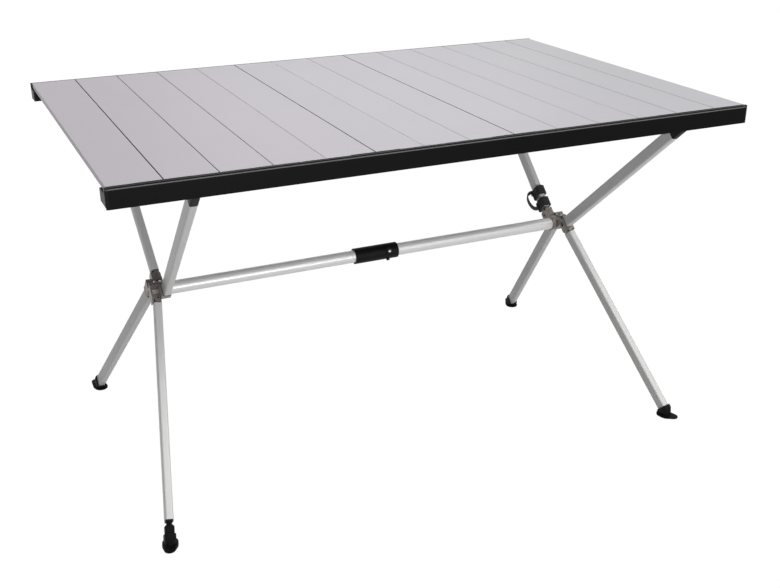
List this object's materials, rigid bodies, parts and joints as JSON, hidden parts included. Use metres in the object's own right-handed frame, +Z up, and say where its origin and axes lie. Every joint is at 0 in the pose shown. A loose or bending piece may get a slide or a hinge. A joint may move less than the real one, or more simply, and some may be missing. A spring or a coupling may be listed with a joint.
{
  "type": "roll top camp table",
  "caption": "Camp table with a pale aluminium slat top on black rails, carried by a folding silver frame of splayed crossed legs joined by a centre bar.",
  "frame": {"origin": "on the floor, under the middle of the table top", "axes": "+X along the length of the top (to the right in the picture), +Y to the back, +Z up"},
  "size_m": [1.2058, 0.79, 0.695],
  "materials": {
    "slat_aluminium": "satin anodised, pale grey",
    "black_aluminium": "black anodised, satin",
    "leg_aluminium": "satin anodised, silver",
    "bar_aluminium": "bright anodised, silver",
    "hub_alloy": "satin anodised, brown grey",
    "knuckle_alloy": "satin anodised, dark brown grey",
    "foot_rubber": "black, matt",
    "black_plastic": "black moulded nylon",
    "bright_steel": "bright",
    "spring_steel": "plain",
    "webbing": "black woven webbing"
  },
  "bodies": {
    "left_frame": {"left_hub": "hub_alloy", "left_hub_screw": "bright_steel", "left_hub_pins": "hub_alloy", "left_bar": "bar_aluminium", "bar_sleeve": "black_plastic"},
    "right_frame": {"right_hub": "hub_alloy", "right_hub_screw": "bright_steel", "right_hub_pins": "hub_alloy", "right_bar": "bar_aluminium", "button_spring": "spring_steel"},
    "release_button": {"release_button": "bright_steel"},
    "top": {"front_rail": "black_aluminium", "back_rail": "black_aluminium", "rail_end_caps": "black_plastic", "slat_01": "slat_aluminium"},
    "front_left_upper": {"front_left_upper_leg": "leg_aluminium", "front_left_upper_knuckle": "knuckle_alloy", "front_left_tip": "black_plastic"},
    "front_left_lower": {"front_left_lower_leg": "leg_aluminium", "front_left_lower_knuckle": "knuckle_alloy", "front_left_foot_bush": "black_plastic"},
    "front_right_upper": {"front_right_upper_leg": "leg_aluminium", "front_right_upper_knuckle": "knuckle_alloy", "front_right_tip": "black_plastic"},
    "front_right_lower": {"front_right_lower_leg": "leg_aluminium", "front_right_lower_knuckle": "knuckle_alloy", "front_right_foot": "foot_rubber"},
    "back_left_upper": {"back_left_upper_leg": "leg_aluminium", "back_left_upper_knuckle": "knuckle_alloy", "back_left_tip": "black_plastic"},
    "back_left_lower": {"back_left_lower_leg": "leg_aluminium", "back_left_lower_knuckle": "knuckle_alloy", "back_left_foot": "foot_rubber"},
    "back_right_upper": {"back_right_upper_leg": "leg_aluminium", "back_right_upper_knuckle": "knuckle_alloy", "back_right_tip": "black_plastic", "leg_strap": "webbing"},
    "back_right_lower": {"back_right_lower_leg": "leg_aluminium", "back_right_lower_knuckle": "knuckle_alloy", "back_right_foot": "foot_rubber"},
    "slat_02": {"slat_02": "slat_aluminium"},
    "slat_03": {"slat_03": "slat_aluminium"},
    "slat_04": {"slat_04": "slat_aluminium"},
    "slat_05": {"slat_05": "slat_aluminium"},
    "slat_06": {"slat_06": "slat_aluminium"},
    "slat_07": {"slat_07": "slat_aluminium"},
    "slat_08": {"slat_08": "slat_aluminium"},
    "slat_09": {"slat_09": "slat_aluminium"},
    "slat_10": {"slat_10": "slat_aluminium"},
    "slat_11": {"slat_11": "slat_aluminium"},
    "slat_12": {"slat_12": "slat_aluminium"},
    "slat_13": {"slat_13": "slat_aluminium"},
    "slat_14": {"slat_14": "slat_aluminium"},
    "front_left_foot": {"front_left_foot": "foot_rubber"}
  },
  "joints": [
    {"name": "bar_pull", "type": "slide", "parent": "left_frame", "child": "right_frame", "axis": [1, 0, 0], "range_m": [0, 0.16]},
    {"name": "button_press", "type": "slide", "parent": "left_frame", "child": "release_button", "axis": [0, 0.9397, -0.342], "range_m": [0, 0.0025], "stiffness_N_per_m": 800, "springref_m": -0.001},
    {"name": "top_lift", "type": "slide", "parent": "left_frame", "child": "top", "axis": [0, 0, 1], "range_m": [0, 0.25]},
    {"name": "front_left_upper_fold", "type": "hinge", "parent": "left_frame", "child": "front_left_upper", "pos_m": [-0.453, -0.04, 0.366], "axis": [0, 0.6652, 0.7467], "range_deg": [0, 90]},
    {"name": "front_left_lower_fold", "type": "hinge", "parent": "left_frame", "child": "front_left_lower", "pos_m": [-0.468, -0.0255, 0.346], "axis": [0, -0.7432, 0.6691], "range_deg": [0, 97]},
    {"name": "front_right_upper_fold", "type": "hinge", "parent": "right_frame", "child": "front_right_upper", "pos_m": [0.453, -0.04, 0.366], "axis": [0, -0.6652, -0.7467], "range_deg": [0, 90]},
    {"name": "front_right_lower_fold", "type": "hinge", "parent": "right_frame", "child": "front_right_lower", "pos_m": [0.468, -0.0255, 0.346], "axis": [0, 0.7432, -0.6691], "range_deg": [0, 97]},
    {"name": "back_left_upper_fold", "type": "hinge", "parent": "left_frame", "child": "back_left_upper", "pos_m": [-0.453, 0.04, 0.366], "axis": [0, 0.6652, -0.7467], "range_deg": [0, 90]},
    {"name": "back_left_lower_fold", "type": "hinge", "parent": "left_frame", "child": "back_left_lower", "pos_m": [-0.468, 0.0255, 0.346], "axis": [0, -0.7432, -0.6691], "range_deg": [0, 97]},
    {"name": "back_right_upper_fold", "type": "hinge", "parent": "right_frame", "child": "back_right_upper", "pos_m": [0.453, 0.04, 0.366], "axis": [0, -0.6652, 0.7467], "range_deg": [0, 90], "deforming": ["leg_strap"]},
    {"name": "back_right_lower_fold", "type": "hinge", "parent": "right_frame", "child": "back_right_lower", "pos_m": [0.468, 0.0255, 0.346], "axis": [0, 0.7432, 0.6691], "range_deg": [0, 97]},
    {"name": "slat_02_roll", "type": "hinge", "parent": "top", "child": "slat_02", "pos_m": [-0.51135, 0, 0.6938], "axis": [0, -1, 0], "range_deg": [0, 22]},
    {"name": "slat_03_roll", "type": "hinge", "parent": "slat_02", "child": "slat_03", "pos_m": [-0.42445, 0, 0.6938], "axis": [0, -1, 0], "range_deg": [0, 63]},
    {"name": "slat_04_roll", "type": "hinge", "parent": "slat_03", "child": "slat_04", "pos_m": [-0.33755, 0, 0.6938], "axis": [0, -1, 0], "range_deg": [0, 69]},
    {"name": "slat_05_roll", "type": "hinge", "parent": "slat_04", "child": "slat_05", "pos_m": [-0.25065, 0, 0.6938], "axis": [0, -1, 0], "range_deg": [0, 19]},
    {"name": "slat_06_roll", "type": "hinge", "parent": "slat_05", "child": "slat_06", "pos_m": [-0.16375, 0, 0.6938], "axis": [0, -1, 0], "range_deg": [0, 83]},
    {"name": "slat_07_roll", "type": "hinge", "parent": "slat_06", "child": "slat_07", "pos_m": [-0.07685, 0, 0.6938], "axis": [0, -1, 0], "range_deg": [0, 50]},
    {"name": "slat_08_roll", "type": "hinge", "parent": "slat_07", "child": "slat_08", "pos_m": [0.01005, 0, 0.6938], "axis": [0, -1, 0], "range_deg": [0, 67]},
    {"name": "slat_09_roll", "type": "hinge", "parent": "slat_08", "child": "slat_09", "pos_m": [0.09695, 0, 0.6938], "axis": [0, -1, 0], "range_deg": [0, 53]},
    {"name": "slat_10_roll", "type": "hinge", "parent": "slat_09", "child": "slat_10", "pos_m": [0.18385, 0, 0.6938], "axis": [0, -1, 0], "range_deg": [0, 90]},
    {"name": "slat_11_roll", "type": "hinge", "parent": "slat_10", "child": "slat_11", "pos_m": [0.27075, 0, 0.6938], "axis": [0, -1, 0], "range_deg": [0, 54]},
    {"name": "slat_12_roll", "type": "hinge", "parent": "slat_11", "child": "slat_12", "pos_m": [0.35765, 0, 0.6938], "axis": [0, -1, 0], "range_deg": [0, 90]},
    {"name": "slat_13_roll", "type": "hinge", "parent": "slat_12", "child": "slat_13", "pos_m": [0.44455, 0, 0.6938], "axis": [0, -1, 0], "range_deg": [0, 90]},
    {"name": "slat_14_roll", "type": "hinge", "parent": "slat_13", "child": "slat_14", "pos_m": [0.53145, 0, 0.6938], "axis": [0, -1, 0], "range_deg": [0, 90]},
    {"name": "front_left_foot_level", "type": "slide", "parent": "front_left_lower", "child": "front_left_foot", "axis": [-0.1735, -0.6589, -0.7319], "range_m": [0, 0.015]}
  ]
}
